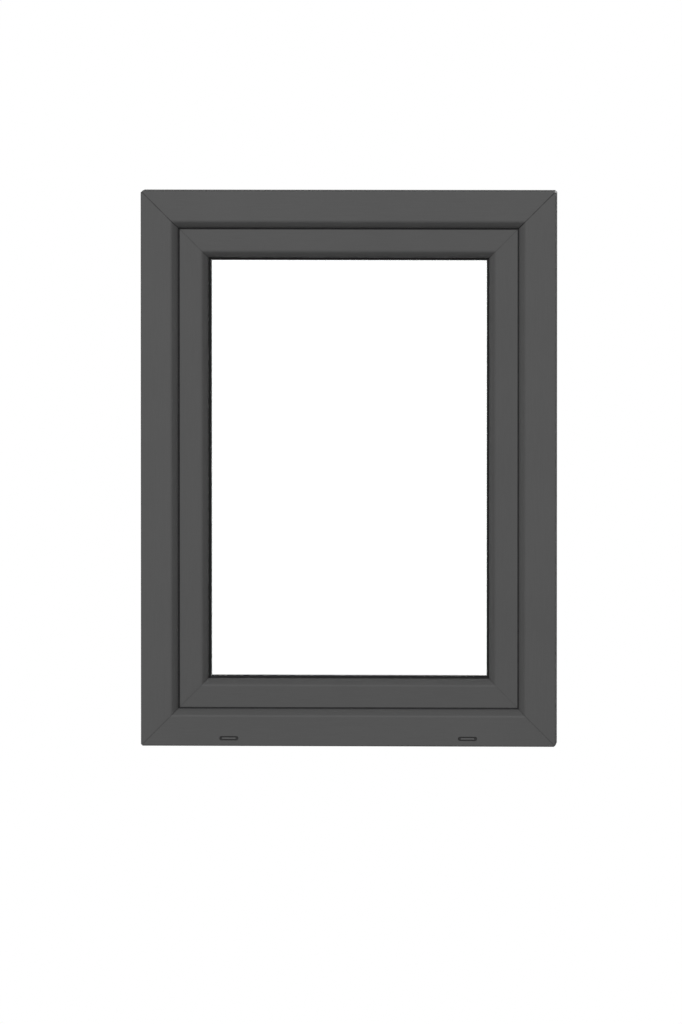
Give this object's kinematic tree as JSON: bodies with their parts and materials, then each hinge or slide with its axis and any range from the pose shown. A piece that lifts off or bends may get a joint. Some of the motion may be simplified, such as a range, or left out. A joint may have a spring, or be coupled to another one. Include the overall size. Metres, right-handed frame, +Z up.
{
  "type": "tilt and turn window",
  "caption": "Closed tilt and turn window: mitred plastic frame and sash with bevelled edges, drain slots, a double-glazed sealed unit, glazing beads, hinges and a lever handle.",
  "frame": {"origin": "middle of the sill's underside, halfway through the frame's depth", "axes": "+X to the right seen from outside, +Y into the room, +Z up; the outdoor face of the frame looks towards -Y"},
  "size_m": [0.683, 0.1392, 0.914],
  "materials": {
    "frame_foil": "dark grey foil with a fine grain",
    "sash_foil": "dark grey foil with a fine grain",
    "seal_rubber": "matt black",
    "clear_glass": "clear float glass",
    "spacer_aluminium": "mill finish",
    "cap_plastic": "dark grey moulding",
    "fitting_paint": "dark grey powder coat, satin"
  },
  "bodies": {
    "root": {"frame_head": "frame_foil", "frame_sill": "frame_foil", "frame_left_jamb": "frame_foil", "frame_right_jamb": "frame_foil", "sash_top_rail": "sash_foil", "sash_bottom_rail": "sash_foil", "sash_left_stile": "sash_foil", "sash_right_stile": "sash_foil", "glazing_bead_top": "sash_foil", "glazing_bead_bottom": "sash_foil", "glazing_bead_left": "sash_foil", "glazing_bead_right": "sash_foil", "frame_seal": "seal_rubber", "sash_seal": "seal_rubber", "outer_glazing_seal": "seal_rubber", "inner_glazing_seal": "seal_rubber", "outer_pane": "clear_glass", "inner_pane": "clear_glass", "spacer_bar": "spacer_aluminium", "edge_sealant": "seal_rubber", "drain_cap_left": "cap_plastic", "drain_cap_right": "cap_plastic", "lower_hinge_frame_knuckle": "fitting_paint", "lower_hinge_sash_knuckle": "fitting_paint", "lower_hinge_pin": "fitting_paint", "upper_hinge_frame_knuckle": "fitting_paint", "upper_hinge_sash_knuckle": "fitting_paint", "upper_hinge_pin": "fitting_paint", "handle_rosette": "fitting_paint", "handle_lever": "fitting_paint"}
  },
  "joints": []
}
